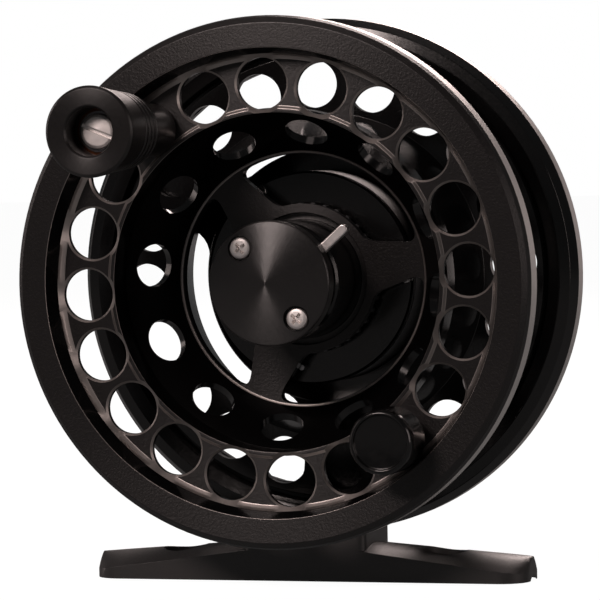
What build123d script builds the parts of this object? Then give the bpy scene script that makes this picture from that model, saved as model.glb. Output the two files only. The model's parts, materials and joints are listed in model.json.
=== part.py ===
from build123d import *
import math
import os

# Fly reel, large-arbor pattern. Millimetres, +Z up.
# The reel is drawn about its own axis (+Y, running from the handle side to the drag knob), with
# "depth" measured along it from the front face of the spool. The last step moves every piece so
# that the origin is the middle of the foot's underside.

# ---- driving dimensions ---------------------------------------------------------------------
REEL_R = 40.0            # spool rim and frame ring, outside
AXIS_HEIGHT = 46.3       # spool axis above the underside of the foot
FRAME_BACK = 36.0        # depth of the frame's rear face
RIM_INNER_R = 35.2       # inner edge of the flat rim face
RING_OUTER_R = 34.05     # perforated ring
RING_INNER_R = 25.5
RING_FRONT = 4.2
FLANGE_BACK = 5.7
HOLE_COUNT = 20
HOLE_CIRCLE_R = 29.9
HOLE_R = 3.9
HANDLE_ANGLE = 129.3     # from +X, counter-clockwise as seen from the handle side
WINDOW_COUNT = 12
WINDOW_R = 3.3
WEB_FRONT = 18.4
WEB_BACK = 20.2
WEB_R = 19.5             # edge between the web and the conical drum wall
OPENING_R = 19.2         # outer edge of the spaces between the arms
ARM_HALF = (4.6, 1.95)   # half width of a tapered arm at the radii below
ARM_REACH = (9.0, 21.0)
BOSS_R = 11.5
TUBE_FRONT = 3.2
TUBE_BACK = 22.0
BACK_FLANGE_R = 34.6
BACK_FLANGE = (32.0, 33.5)
SPINDLE_R = 3.0
RUNNING_GAP = 0.06       # radial clearance of bushes on their shafts
FIT_GAP = 0.02           # radial clearance of pieces that are pressed or screwed together

GEAR_FRONT = 20.4        # click gear, front face

LEVER_ANGLE = 42.0
LEVER_REACH = 14.0       # from the axis to the tip, along the lever
LEVER_WIDTH = 1.5
LEVER_SHIFT = -1.3       # the lever stands this far to one side of the axis
LATCH_TRAVEL = 0.85

HOUSING_R = 16.4         # drag housing, outside and inside
HOUSING_BORE_R = 14.4
COVER = (22.4, 24.0)
FLOOR_FRONT = 33.0
DISC_R = 20.1            # central disc of the frame
SPOKE_WIDTH = 10.0
SPOKE_ANGLES = (30, 150, 270)
FRAME_RING_INNER_R = 35.5
THRUST_TRAVEL = 0.6
DISC_THICKNESS = 1.0

FOOT_LENGTH = 69.0
FOOT_FRONT = 16.5
FOOT_WIDTH = 12.5
STEM_HALF = 9.7
STEM_BACK = 30.6
FOOT_TIP = (1.3, 2.4)    # thickness at the edge, and how far the top is crowned above it
FOOT_ROOT = (4.65, 1.0)
FOOT_MID = FOOT_FRONT + FOOT_WIDTH / 2

KNOB_FACE = -25.0        # outer end of the handle
KNOB_BASE = -10.0
POST_R = 4.0
AXLE_R = 2.4
NECK_R = 3.3             # foot of the handle post and of the counterweight, between the ring's lips
KNOB_FRONT = 36.9        # drag knob, front face and radius
DRAG_KNOB_R = 13.5

PLACE = Pos(0, -FOOT_MID, AXIS_HEIGHT)


# ---- helpers --------------------------------------------------------------------------------
def turned(*outline):
    """Solid of revolution about the reel axis from (radius, depth) points."""
    return revolve(make_face(Polyline(*outline, close=True)), Axis.Y)


def at(angle, shape):
    """Turn a shape made on the +X side about the reel axis to an angle."""
    return Rot(0, -angle, 0) * shape


def rod(radius, front, back, offset=0.0, angle=0.0):
    """Round bar parallel to the reel axis."""
    bar = Pos(offset, (front + back) / 2, 0) * Rot(90, 0, 0) * Cylinder(radius, back - front)
    return at(angle, bar)


def ring(inner, outer, front, back):
    return rod(outer, front, back) - rod(inner, front - 1, back + 1)


def bar(length_x, front, back, height, offset=0.0, angle=0.0):
    """Rectangular block centred on a radius, between two depths."""
    block = Pos(offset, (front + back) / 2, 0) * Box(length_x, back - front, height)
    return at(angle, block)


def plate(sketch, front, back):
    """Extrude a sketch, drawn as seen from the front, between two depths."""
    facing = Plane(origin=(0, back, 0), x_dir=(1, 0, 0), z_dir=(0, -1, 0))
    return extrude(facing * sketch, back - front)


def polar(radius, angle):
    """Sketch position on a circle, as seen from the front."""
    return (radius * math.cos(math.radians(angle)), radius * math.sin(math.radians(angle)))


def spring(coil_r, wire_r, length, turns):
    """Open compression spring along +Z from the origin, ends not ground."""
    path = Helix(pitch=length / turns, height=length, radius=coil_r)
    section = Plane(origin=path @ 0, z_dir=path % 0) * Circle(wire_r)
    return sweep(section, path=path, is_frenet=True)


def screw(head_r, head_depth, shank_r, length, countersunk=False):
    """Screw with its head face at depth 0 and its shank along +Y."""
    if countersunk:
        head = turned((0, 0), (head_r, 0), (shank_r, head_depth), (0, head_depth))
    else:
        edge = 0.15
        head = turned((0, 0), (head_r - edge, 0), (head_r, edge), (head_r, head_depth), (0, head_depth))
    return head + rod(shank_r, head_depth - 0.01, length)


def crossed(screw_body, reach, width, depth):
    """Cut a cross recess in a screw's head."""
    arm = Pos(0, depth / 2, 0) * Box(2 * reach, depth, width)
    return screw_body - arm - Rot(0, 90, 0) * arm


def write(name, shape):
    """Write one node, in the part's frame."""
    export_step(PLACE * shape, "parts/" + name + ".step")


# ---- spool ----------------------------------------------------------------------------------
def hole_angles():
    step = 360 / HOLE_COUNT
    return [HANDLE_ANGLE + step * index for index in range(HOLE_COUNT)]


def hub_openings():
    """The three spaces between the spool's arms, as a sketch."""
    near, far = ARM_REACH
    wide, narrow = ARM_HALF
    arm = make_face(Polyline((near, wide), (far, narrow), (far, -narrow), (near, -wide), close=True))
    gap = Circle(OPENING_R) - Circle(BOSS_R)
    for index in range(3):
        gap -= Rot(0, 0, HANDLE_ANGLE + 120 * index) * arm
    middle = (OPENING_R + BOSS_R) / 2
    inner = [corner for corner in gap.vertices() if math.hypot(corner.X, corner.Y) < middle]
    gap = fillet(inner, 1.2)
    outer = [corner for corner in gap.vertices() if math.hypot(corner.X, corner.Y) > OPENING_R - 0.1]
    return fillet(outer, 1.8)


def make_spool():
    drum_outer_r = RING_INNER_R + 0.7
    shell = turned(
        (RIM_INNER_R, 0), (38.9, 0), (39.7, 0.9), (REEL_R, 1.8), (REEL_R, 5.3), (39.6, FLANGE_BACK),
        (drum_outer_r, FLANGE_BACK), (drum_outer_r, 10.2), (20.9, 18.7), (20.6, 20.6),
        (25.2, BACK_FLANGE[0]), (BACK_FLANGE_R, BACK_FLANGE[0]), (BACK_FLANGE_R, BACK_FLANGE[1]),
        (22.55, BACK_FLANGE[1]), (19.3, WEB_BACK), (8.0, WEB_BACK), (8.0, WEB_FRONT),
        (WEB_R, WEB_FRONT), (RING_INNER_R, 9.5), (RING_INNER_R, 3.8), (26.1, 3.8), (26.5, RING_FRONT),
        (RING_OUTER_R - 0.5, RING_FRONT), (RING_OUTER_R, 3.8), (34.3, 3.4))
    tube = turned(
        (5.0, TUBE_FRONT), (8.6, TUBE_FRONT), (8.6, 6.6), (9.1, 7.0), (9.1, 19.4), (9.3, WEB_BACK),
        (10.0, WEB_BACK), (10.0, GEAR_FRONT), (8.9, GEAR_FRONT), (8.9, TUBE_BACK), (5.0, TUBE_BACK))
    groove = ring(9.1, 10.1, WEB_FRONT, 19.4)
    body = shell - groove + tube - plate(hub_openings(), WEB_FRONT - 3, WEB_BACK + 1)

    chamfer_edge = 0.35
    front_hole = turned(
        (0, RING_FRONT - 1), (HOLE_R + chamfer_edge + 1, RING_FRONT - 1),
        (HOLE_R, RING_FRONT + chamfer_edge), (HOLE_R, FLANGE_BACK), (0, FLANGE_BACK))
    cutters = []
    for index, angle in enumerate(hole_angles()):
        offset = Pos(HOLE_CIRCLE_R, 0, 0)
        cutters.append(rod(3.7, 31, 35, HOLE_CIRCLE_R, angle))
        if index % (HOLE_COUNT // 2) == 0:
            cutters.append(rod(1.5 + FIT_GAP, 3, 7, HOLE_CIRCLE_R, angle))
            sink = turned((0, 4.2), (1.4, 4.2), (2.92, 5.75), (0, 5.75))
            cutters.append(at(angle, offset * sink))
        else:
            cutters.append(at(angle, offset * front_hole))
    for index in range(WINDOW_COUNT):
        drill = Plane(origin=(23.0, 14.2, 0), z_dir=(8.9, 6.0, 0)) * Cylinder(WINDOW_R, 6.0)
        cutters.append(at(24.0 + 30 * index, drill))
    for side in (0, 180):
        cutters.append(rod(0.8, 2, 9, 6.8, HANDLE_ANGLE + side))
    pocket = (TUBE_FRONT - 1, 4.9)
    cutters.append(bar(12.4, *pocket, 8.2, 0.25, LEVER_ANGLE))
    cutters.append(bar(3.0, *pocket, 1.9, -6.1, LEVER_ANGLE))
    lever_slot = Pos(0, 0, LEVER_SHIFT) * bar(6.0, *pocket, LEVER_WIDTH + 0.5, 7.0)
    cutters.append(at(LEVER_ANGLE, lever_slot))
    return body - cutters


def make_hub_cap():
    cone = turned((0, -1.4), (9.2, 0.7), (9.4, 0.95), (9.4, TUBE_FRONT), (0, TUBE_FRONT))
    cap = cone - rod(3.4, 1.4, TUBE_FRONT + 1)
    for side in (0, 180):
        cap -= rod(1.95, -3, 1.3, 6.8, HANDLE_ANGLE + side)
        cap -= rod(0.85, 0, 5, 6.8, HANDLE_ANGLE + side)
    return cap


def make_hub_cap_screws():
    one = crossed(screw(1.65, 1.05, 0.78, 8.2), 1.0, 0.5, 0.6)
    place = Pos(6.8, 0.25, 0) * Rot(0, 20, 0)
    return [at(HANDLE_ANGLE + side, place * one) for side in (0, 180)]


def make_release_lever():
    """Sliding latch plate with its finger lever, drawn along +X and turned into place."""
    hole_shift = 0.75
    outline = Pos(0.6, 0) * RectangleRounded(11.2, 7.8, 1.2)
    outline -= Pos(hole_shift, 0) * Circle(2.65)
    stalk_end = LEVER_REACH - LEVER_WIDTH / 2
    outline += Pos((6.0 + stalk_end) / 2, LEVER_SHIFT) * Rectangle(stalk_end - 6.0, LEVER_WIDTH)
    outline += Pos(stalk_end, LEVER_SHIFT) * Circle(LEVER_WIDTH / 2)
    solid = plate(outline, 3.45, 4.75)
    top_edges = solid.edges().filter_by_position(Axis.Y, 3.4, 3.5)
    finger = [edge for edge in top_edges if edge.center().X > 6.4]
    return at(LEVER_ANGLE, fillet(finger, 0.35))


def make_latch_spring():
    coil = spring(0.5, 0.13, 2.3, 4)
    return at(LEVER_ANGLE, Pos(-5.15, 4.1, 0) * Rot(0, -90, 0) * coil)


def make_drive_sleeve():
    return ring(4.0, 5.0 - FIT_GAP, 10.4, 30.0)


def make_spool_bushes():
    inner = SPINDLE_R + RUNNING_GAP
    front = ring(inner, 5.0 - FIT_GAP, 6.2, 10.2)
    rear = ring(inner, 4.0 - FIT_GAP, 25.6, 29.8)
    return [front, rear]


def make_click_gear():
    teeth = 36
    blank = ring(8.9 + FIT_GAP, 11.6, GEAR_FRONT, 21.6)
    notch = plate(make_face(Polyline((12.3, -1.2), (12.3, 1.2), (10.5, 0.08), (10.5, -0.08), close=True)),
                  GEAR_FRONT - 1, 22)
    notches = [at(PAWL_ANGLE + 360 / teeth * index, notch) for index in range(teeth)]
    return blank - notches


def handle_place(angle_side=0):
    return Rot(0, -(HANDLE_ANGLE + angle_side), 0) * Pos(HOLE_CIRCLE_R, 0, 0)


def make_handle_post():
    post = turned(
        (0, -20.0), (AXLE_R - 0.2, -20.0), (AXLE_R, -19.8), (AXLE_R, -9.4), (POST_R - 0.3, -9.4),
        (POST_R, -9.1), (POST_R, 3.2), (NECK_R, 3.7), (NECK_R, RING_FRONT), (0, RING_FRONT))
    bores = rod(1.1, -21, -14) + rod(1.2, -3, 5)
    return handle_place() * (post - bores)


def make_handle_screw():
    head = screw(2.6, 0.9, 1.1 - FIT_GAP, 5.4)
    slot = Pos(0, 0.25, 0) * Box(6, 0.9, 0.6)
    return handle_place() * Pos(0, -21.3, 0) * Rot(0, 22, 0) * (head - slot)


def make_handle_washer():
    return handle_place() * ring(1.2, 3.0, -20.4, -20.0)


def make_handle_knob():
    """Tapered knob with four grip grooves, a deep screw recess and a stepped bore."""
    groove = 0.3
    outline = [(3.55, KNOB_FACE + 0.3), (3.8, KNOB_FACE), (6.35, KNOB_FACE), (6.7, KNOB_FACE + 0.35),
               (6.62, -23.4)]
    for index in range(4):
        start = -17.0 + 1.9 * index
        radius = 6.1 - 0.12 * index
        outline += [(radius, start), (radius - groove, start + 0.3), (radius - groove, start + 0.7),
                    (radius - 0.05, start + 1.0)]
    outline += [(5.6, KNOB_BASE - 0.4), (5.2, KNOB_BASE), (3.5, KNOB_BASE), (3.5, -20.2), (3.55, -20.2)]
    return handle_place() * turned(*outline)


def make_handle_bushes():
    outer = 3.5 - FIT_GAP
    inner = AXLE_R + RUNNING_GAP
    return [handle_place() * ring(inner, outer, front, front + 3.6) for front in (-19.7, -13.9)]


def make_counterweight():
    weight = turned(
        (0, -6.5), (3.95, -6.5), (4.1, -7.0), (4.4, -7.0), (4.75, -6.6), (4.9, -5.7), (4.9, 0.3),
        (NECK_R, 3.6), (NECK_R, RING_FRONT), (0, RING_FRONT))
    return handle_place(180) * (weight - rod(1.2, -2, 5))


def make_ring_screws():
    """Countersunk screws from the back of the flange into the handle post and the counterweight."""
    one = Rot(180, 0, 0) * (screw(2.7, 1.5, 1.2 - FIT_GAP, 7.6, countersunk=True)
                            - Pos(0, 0.2, 0) * Box(7, 0.8, 0.5))
    return [handle_place(side) * Pos(0, FLANGE_BACK - 0.02, 0) * one for side in (0, 180)]


# ---- frame, foot and spindle ----------------------------------------------------------------
THRUST_PIN_R = 1.0
COVER_SCREW_CIRCLE_R = 15.4
DISC_OUTER_R = 14.1
THRUST_PIN_CIRCLE_R = 12.0
DETENT_CIRCLE_R = 10.2
FOOT_SCREW_CIRCLE_R = 37.6
FOOT_SCREW_SPREAD = 9.0
PAWL_ANGLE = 249.3
PAWL_PIVOT_R = 14.2


def make_frame():
    rim = turned(
        (FRAME_RING_INNER_R, 31.3), (37.4, 30.6), (39.0, 31.0), (REEL_R, 32.7), (REEL_R, 35.6),
        (39.6, FRAME_BACK), (34.6, FRAME_BACK), (34.3, 35.7), (34.3, 34.6), (FRAME_RING_INNER_R, 34.3))
    openings = Circle(34.7) - Circle(DISC_R)
    for angle in SPOKE_ANGLES:
        openings -= Rot(0, 0, angle) * Pos(25, 0) * Rectangle(30, SPOKE_WIDTH)
    openings = fillet(openings.vertices(), 3.5)
    back = turned((0, FLOOR_FRONT), (DISC_R - 0.4, FLOOR_FRONT), (DISC_R, 33.4), (DISC_R, 33.9),
                  (35.0, 34.5), (35.0, FRAME_BACK - 0.3), (34.6, FRAME_BACK), (0, FRAME_BACK))
    back -= plate(openings, 32, 38)
    housing = ring(HOUSING_BORE_R, HOUSING_R, COVER[1], FLOOR_FRONT + 0.5)
    boss = turned((0, FRAME_BACK - 1), (8.0, FRAME_BACK - 1), (8.0, 40.6), (7.4, 40.6), (7.4, 41.4),
                  (8.0, 41.4), (7.8, 42.0), (0, 42.0))
    body = rim + back + housing + boss
    cutters = [rod(4.0 + FIT_GAP, 30, 43)]
    for index in range(4):
        cutters.append(bar(2.0, COVER[1] - 0.5, 30.2, 3.2, 14.3, 90 * index + 45))
    for index in range(3):
        cutters.append(rod(THRUST_PIN_R + 0.3, 32, 38, THRUST_PIN_CIRCLE_R, 120 * index))
        cutters.append(rod(0.7, 23, 28, COVER_SCREW_CIRCLE_R, 120 * index))
    cutters.append(rod(0.95, 33.9, 37, DETENT_CIRCLE_R, 60))
    cone = turned((0, 34.5), (1.05, 34.5), (2.15, 36.1), (0, 36.1))
    for side in (-1, 1):
        angle = 270 + side * FOOT_SCREW_SPREAD
        cutters.append(rod(1.0 + FIT_GAP, 30, 37, FOOT_SCREW_CIRCLE_R, angle))
        cutters.append(at(angle, Pos(FOOT_SCREW_CIRCLE_R, 0, 0) * cone))
    return body - cutters


def foot_section(x, edge, crown):
    """Cross-section of the foot at one place along its length: rails, hollow sole, crowned top."""
    front, back = FOOT_FRONT, FOOT_FRONT + FOOT_WIDTH
    low = -AXIS_HEIGHT
    rail = 1.0
    hollow = min(1.0, edge * 0.55)
    sole = ThreePointArc((front + rail, low), (FOOT_MID, low + hollow), (back - rail, low))
    top = ThreePointArc((back, low + edge), (FOOT_MID, low + edge + crown), (front, low + edge))
    sides = [Line((front, low), (front + rail, low)), Line((back - rail, low), (back, low)),
             Line((back, low), (back, low + edge)), Line((front, low + edge), (front, low))]
    return Plane(origin=(x, 0, 0), x_dir=(0, 1, 0), z_dir=(1, 0, 0)) * make_face([sole, top] + sides)


def make_reel_foot():
    half = FOOT_LENGTH / 2
    root = foot_section(STEM_HALF - 0.5, *FOOT_ROOT)
    tip = foot_section(half, *FOOT_TIP)
    leg = loft([root, tip])
    middle = extrude(foot_section(-STEM_HALF + 0.5, *FOOT_ROOT), 2 * STEM_HALF - 1)
    foot = leg + middle + mirror(leg, Plane.YZ)
    outline = Pos(0, FOOT_MID) * RectangleRounded(FOOT_LENGTH, FOOT_WIDTH, 4.2)
    foot = foot & extrude(Plane(origin=(0, 0, -AXIS_HEIGHT - 1)) * outline, 12)
    stem_low = -AXIS_HEIGHT + 2.4
    stem = Pos(0, (FOOT_FRONT + STEM_BACK) / 2, (stem_low - 34) / 2) * Box(
        2 * STEM_HALF, STEM_BACK - FOOT_FRONT, -34 - stem_low)
    stem = fillet(stem.edges().filter_by(Axis.Z), 1.2)
    stem -= rod(36.0, FOOT_FRONT - 1, STEM_BACK + 1)
    for side in (-1, 1):
        stem -= rod(1.0, 22, 32, FOOT_SCREW_CIRCLE_R, 270 + side * FOOT_SCREW_SPREAD)
    foot = foot + stem
    for side in (-1, 1):
        foot -= Pos(side * 21.0, FOOT_MID, -AXIS_HEIGHT) * Cylinder(3.5, 14)
    return foot


def make_foot_screws():
    body = crossed(screw(1.95, 1.35, 1.0 - FIT_GAP, 12.5, countersunk=True), 1.1, 0.45, 0.6)
    one = Rot(180, 0, 0) * body
    place = Pos(FOOT_SCREW_CIRCLE_R, FRAME_BACK - 0.05, 0)
    return [at(270 + side * FOOT_SCREW_SPREAD, place * one) for side in (-1, 1)]


def make_spindle():
    return turned(
        (0, 2.2), (1.8, 2.2), (2.4, 2.8), (2.4, 3.25), (1.7, 3.25), (1.7, 4.95), (2.4, 4.95),
        (2.4, 5.6), (SPINDLE_R, 6.0), (SPINDLE_R, 31.4), (5.0, 31.4), (5.0, FLOOR_FRONT),
        (4.0, FLOOR_FRONT), (4.0, 41.9), (2.5, 41.9), (2.5, 44.3), (0, 44.3))


def make_spindle_nut():
    return plate(RegularPolygon(4.9, 6) - Circle(2.5 + FIT_GAP), 42.0, 44.0)


# ---- drag -----------------------------------------------------------------------------------
def make_drag_cover():
    cover = turned(
        (10.6, COVER[0]), (HOUSING_R - 0.3, COVER[0]), (HOUSING_R, COVER[0] + 0.3),
        (HOUSING_R, COVER[1]), (10.6, COVER[1]))
    for index in range(3):
        cover -= rod(0.75, 21, 25, COVER_SCREW_CIRCLE_R, 120 * index)
    cover -= rod(0.75, 21, 25, PAWL_PIVOT_R, PAWL_ANGLE)
    cover -= rod(0.45, 21, 25, PAWL_PIVOT_R - 0.4, PAWL_ANGLE + 16)
    return cover


def make_drag_cover_screws():
    one = crossed(screw(1.0, 0.6, 0.7 - FIT_GAP, 4.6), 0.7, 0.3, 0.4)
    place = Pos(COVER_SCREW_CIRCLE_R, COVER[0] - 0.6, 0)
    return [at(120 * index, place * one) for index in range(3)]


def make_hub_seal():
    return turned((8.9, 22.6), (9.4, 22.6), (10.6 - FIT_GAP, 22.6), (10.6 - FIT_GAP, 23.8), (8.75, 23.8))


def make_friction_discs():
    discs = []
    for front in (24.1, 26.5, 28.9):
        disc = ring(10.2, DISC_OUTER_R, front, front + DISC_THICKNESS)
        for index in range(4):
            disc += bar(1.6, front, front + DISC_THICKNESS, 2.8, DISC_OUTER_R, 90 * index + 45)
        discs.append(disc)
    return discs


def make_steel_discs():
    outline = Circle(DISC_OUTER_R - 0.1) - RegularPolygon(9.9, 6)
    return [plate(outline, front, front + DISC_THICKNESS) for front in (25.3, 27.7)]


def make_drag_hub():
    hub = plate(RegularPolygon(9.8, 6), 25.0, 30.2) + rod(8.6, 22.7, 25.1)
    return hub - rod(5.4, 22, 25) - rod(7.5, 24.2, 31)


def make_one_way_clutch():
    outer = 7.5 - FIT_GAP
    return turned((5.4, 24.4), (outer, 24.4), (outer, 30.0), (5.4, 30.0), (5.4, 29.5), (6.6, 29.5),
                  (6.6, 24.9), (5.4, 24.9))


def make_clutch_rollers():
    return [rod(0.7, 25.1, 29.3, 5.85, 36 * index) for index in range(10)]


def make_pressure_plate():
    return ring(10.3, DISC_OUTER_R - 0.1, 30.6, 31.4)


def make_wave_spring():
    return turned((10.5, 31.42), (10.9, 31.42), (13.6, 31.9), (13.6, 32.2), (13.2, 32.2), (10.5, 31.75))


def make_thrust_pins():
    pin = turned((0, 32.2), (THRUST_PIN_R, 32.2), (THRUST_PIN_R, 36.4), (0.7, 36.7), (0, 36.7))
    return [at(120 * index, Pos(THRUST_PIN_CIRCLE_R, 0, 0) * pin) for index in range(3)]


def make_drag_knob():
    body = turned(
        (8.3, KNOB_FRONT), (DRAG_KNOB_R - 0.4, KNOB_FRONT), (DRAG_KNOB_R, KNOB_FRONT + 0.4),
        (DRAG_KNOB_R, 44.2), (12.7, 45.8), (11.4, 46.4), (9.9, 46.4), (9.6, 46.1), (9.6, 40.4), (8.3, 40.4))
    flutes = 12
    for index in range(flutes):
        body -= rod(1.8, KNOB_FRONT + 1.2, 48, DRAG_KNOB_R + 1.0, 360 / flutes * index)
    dimple = Pos(DETENT_CIRCLE_R, 36.35, 0) * Sphere(0.95)
    for index in range(24):
        body -= at(15 * index, dimple)
    return body


def make_knob_cover():
    outer = 9.6 - FIT_GAP
    return turned((0, 44.7), (outer, 44.7), (outer, 45.9), (9.0, 46.2), (0, 45.8))


def make_knob_clip():
    clip = ring(7.4 + FIT_GAP, 8.9, 40.65, 41.35)
    return clip - bar(4, 40, 42, 5.0, 8.5, 90)


def make_detent_ball():
    return at(60, Pos(DETENT_CIRCLE_R, 35.95, 0) * Sphere(0.9))


def make_detent_spring():
    coil = spring(0.6, 0.14, 0.95, 2.5)
    return at(60, Pos(DETENT_CIRCLE_R, 35.0, 0) * Rot(90, 0, 0) * coil)


# ---- click ----------------------------------------------------------------------------------
def make_pawl_pin():
    return rod(0.75 - FIT_GAP, 20.5, COVER[1] - 0.1, PAWL_PIVOT_R, PAWL_ANGLE)


def make_click_pawl():
    outline = Pos(PAWL_PIVOT_R, 0) * Circle(1.7)
    outline += make_face(Polyline((PAWL_PIVOT_R, 1.6), (11.15, 0.1), (11.15, -0.1), (PAWL_PIVOT_R, -1.6),
                                  close=True))
    outline -= Pos(PAWL_PIVOT_R, 0) * Circle(0.75 + RUNNING_GAP)
    return at(PAWL_ANGLE, plate(outline, 20.6, 21.4))


def make_pawl_spring():
    """Wire leaf on a peg in the drag cover, bearing beside the pawl."""
    peg = rod(0.45 - FIT_GAP, 20.7, COVER[1] - 0.1, PAWL_PIVOT_R - 0.4, PAWL_ANGLE + 16)
    start = polar(PAWL_PIVOT_R - 0.4, PAWL_ANGLE + 16)
    end = polar(PAWL_PIVOT_R - 2.4, PAWL_ANGLE + 6.6)
    leaf = Polyline(start, end)
    return peg + plate(trace(leaf, 0.3), 20.75, 21.25)


PIECES = {
    "frame": make_frame,
    "reel_foot": make_reel_foot,
    "foot_screws": make_foot_screws,
    "spindle": make_spindle,
    "spindle_nut": make_spindle_nut,
    "drag_cover": make_drag_cover,
    "drag_cover_screws": make_drag_cover_screws,
    "hub_seal": make_hub_seal,
    "friction_discs": make_friction_discs,
    "steel_discs": make_steel_discs,
    "drag_hub": make_drag_hub,
    "one_way_clutch": make_one_way_clutch,
    "clutch_rollers": make_clutch_rollers,
    "pressure_plate": make_pressure_plate,
    "wave_spring": make_wave_spring,
    "thrust_pins": make_thrust_pins,
    "drag_knob": make_drag_knob,
    "knob_cover": make_knob_cover,
    "knob_clip": make_knob_clip,
    "detent_ball": make_detent_ball,
    "detent_spring": make_detent_spring,
    "pawl_pin": make_pawl_pin,
    "click_pawl": make_click_pawl,
    "pawl_spring": make_pawl_spring,
    "spool": make_spool,
    "drive_sleeve": make_drive_sleeve,
    "spool_bushes": make_spool_bushes,
    "click_gear": make_click_gear,
    "hub_cap": make_hub_cap,
    "hub_cap_screws": make_hub_cap_screws,
    "release_lever": make_release_lever,
    "latch_spring": make_latch_spring,
    "handle_post": make_handle_post,
    "handle_screw": make_handle_screw,
    "handle_washer": make_handle_washer,
    "handle_knob": make_handle_knob,
    "handle_bushes": make_handle_bushes,
    "counterweight": make_counterweight,
    "ring_screws": make_ring_screws,
}

os.makedirs("parts", exist_ok=True)
for name, make in PIECES.items():
    made = make()
    if isinstance(made, list):
        made = Compound(children=made)
    write(name, made)
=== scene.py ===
import json
import math

import bmesh
import bpy
from mathutils import Matrix, Vector


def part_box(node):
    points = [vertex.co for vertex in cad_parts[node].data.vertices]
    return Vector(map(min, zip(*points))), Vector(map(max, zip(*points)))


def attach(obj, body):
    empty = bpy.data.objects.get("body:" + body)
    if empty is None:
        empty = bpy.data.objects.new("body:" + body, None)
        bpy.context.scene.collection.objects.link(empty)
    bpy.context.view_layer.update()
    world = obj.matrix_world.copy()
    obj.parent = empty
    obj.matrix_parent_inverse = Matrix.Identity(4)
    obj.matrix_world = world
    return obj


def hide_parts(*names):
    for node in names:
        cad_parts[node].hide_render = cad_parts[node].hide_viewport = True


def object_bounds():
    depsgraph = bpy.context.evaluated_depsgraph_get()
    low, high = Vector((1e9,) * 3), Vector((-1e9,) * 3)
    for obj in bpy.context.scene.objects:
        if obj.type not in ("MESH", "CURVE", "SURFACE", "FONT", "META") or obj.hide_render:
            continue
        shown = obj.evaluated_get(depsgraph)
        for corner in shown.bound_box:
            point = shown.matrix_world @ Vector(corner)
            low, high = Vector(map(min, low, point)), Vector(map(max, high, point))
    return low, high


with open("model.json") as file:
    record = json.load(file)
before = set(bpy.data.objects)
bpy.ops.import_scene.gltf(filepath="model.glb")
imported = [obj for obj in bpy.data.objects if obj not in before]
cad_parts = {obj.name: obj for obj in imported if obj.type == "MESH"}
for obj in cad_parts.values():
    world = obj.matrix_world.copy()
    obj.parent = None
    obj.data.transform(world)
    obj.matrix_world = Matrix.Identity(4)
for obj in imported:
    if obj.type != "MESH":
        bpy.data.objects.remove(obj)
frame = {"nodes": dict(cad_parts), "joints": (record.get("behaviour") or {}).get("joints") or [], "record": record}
cad_low, cad_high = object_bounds()

# The reel is built about its own axis, which runs along +Y.
MM = 0.001
JOINTS = {joint["name"]: joint for joint in frame["joints"]}
AXIS = Vector(JOINTS["spool_turn"]["pos_m"])
FRONT_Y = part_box("spool")[0].y
HANDLE_POS = Vector(JOINTS["handle_turn"]["pos_m"]) - AXIS
HANDLE_ANGLE = math.degrees(math.atan2(HANDLE_POS.z, HANDLE_POS.x))
HOLE_CIRCLE_R = math.hypot(HANDLE_POS.x, HANDLE_POS.z) / MM
FOOT_LOW, FOOT_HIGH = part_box("reel_foot")

SLOTS = {row["node"]: row["material_slot"] for row in frame["record"]["subparts"]}

ROUND = 160         # facets round a full circle of a large turned piece
SMALL_ROUND = 72
TINY = 1e-6         # nearer to the axis than this is on it
WELD = 1e-8


# ---- geometry helpers -----------------------------------------------------------------------
def reel(x, depth, z):
    """A point given in reel millimetres, in the frame's metres."""
    return Vector((x * MM, FRONT_Y + depth * MM, AXIS.z + z * MM))


def polar(radius, angle):
    """(x, z) on a circle about the reel axis, as seen from the front."""
    return radius * math.cos(math.radians(angle)), radius * math.sin(math.radians(angle))


def soften(outline, radius=0.12, steps=3):
    """Round the corners of an outline, as a tool with a small nose radius leaves them."""
    points = [Vector(point) for point in outline]
    rounded = []
    for index, corner in enumerate(points):
        before = points[index - 1]
        after = points[(index + 1) % len(points)]
        if corner.x < TINY:
            rounded.append(corner)
            continue
        back = before - corner
        ahead = after - corner
        reach = min(radius, 0.4 * back.length, 0.4 * ahead.length)
        start = corner + back.normalized() * reach
        end = corner + ahead.normalized() * reach
        for step in range(steps + 1):
            t = step / steps
            rounded.append(start * (1 - t) ** 2 + corner * (2 * t * (1 - t)) + end * t ** 2)
    return rounded


def mesh_object(name, bm):
    """An object in the scene from a bmesh, which is used up."""
    mesh = bpy.data.meshes.new(name)
    bmesh.ops.remove_doubles(bm, verts=bm.verts, dist=WELD)
    bmesh.ops.recalc_face_normals(bm, faces=bm.faces)
    bm.to_mesh(mesh)
    bm.free()
    obj = bpy.data.objects.new(name, mesh)
    bpy.context.scene.collection.objects.link(obj)
    return obj


def lathe_into(bm, outline, facets, x=0.0, z=0.0):
    """Add a closed turned solid, about an axis parallel to the reel's, to a bmesh."""
    rings = []
    for point in outline:
        if point[0] < TINY:
            rings.append([bm.verts.new(reel(x, point[1], z))])
            continue
        turn = []
        for index in range(facets):
            angle = 2 * math.pi * index / facets
            turn.append(bm.verts.new(reel(x + point[0] * math.cos(angle), point[1],
                                          z + point[0] * math.sin(angle))))
        rings.append(turn)
    for index, near in enumerate(rings):
        far = rings[(index + 1) % len(rings)]
        if len(near) == 1 and len(far) == 1:
            continue
        for step in range(facets):
            after = (step + 1) % facets
            if len(near) == 1:
                bm.faces.new((near[0], far[step], far[after]))
            elif len(far) == 1:
                bm.faces.new((near[step], far[0], near[after]))
            else:
                bm.faces.new((near[step], far[step], far[after], near[after]))


def lathe(name, outline, facets=ROUND, place=(0.0, 0.0), round_edges=0.12):
    """A turned piece with rounded edges, about the reel axis or about place = (x, z)."""
    bm = bmesh.new()
    lathe_into(bm, soften(outline, round_edges), facets, *place)
    return mesh_object(name, bm)


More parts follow.
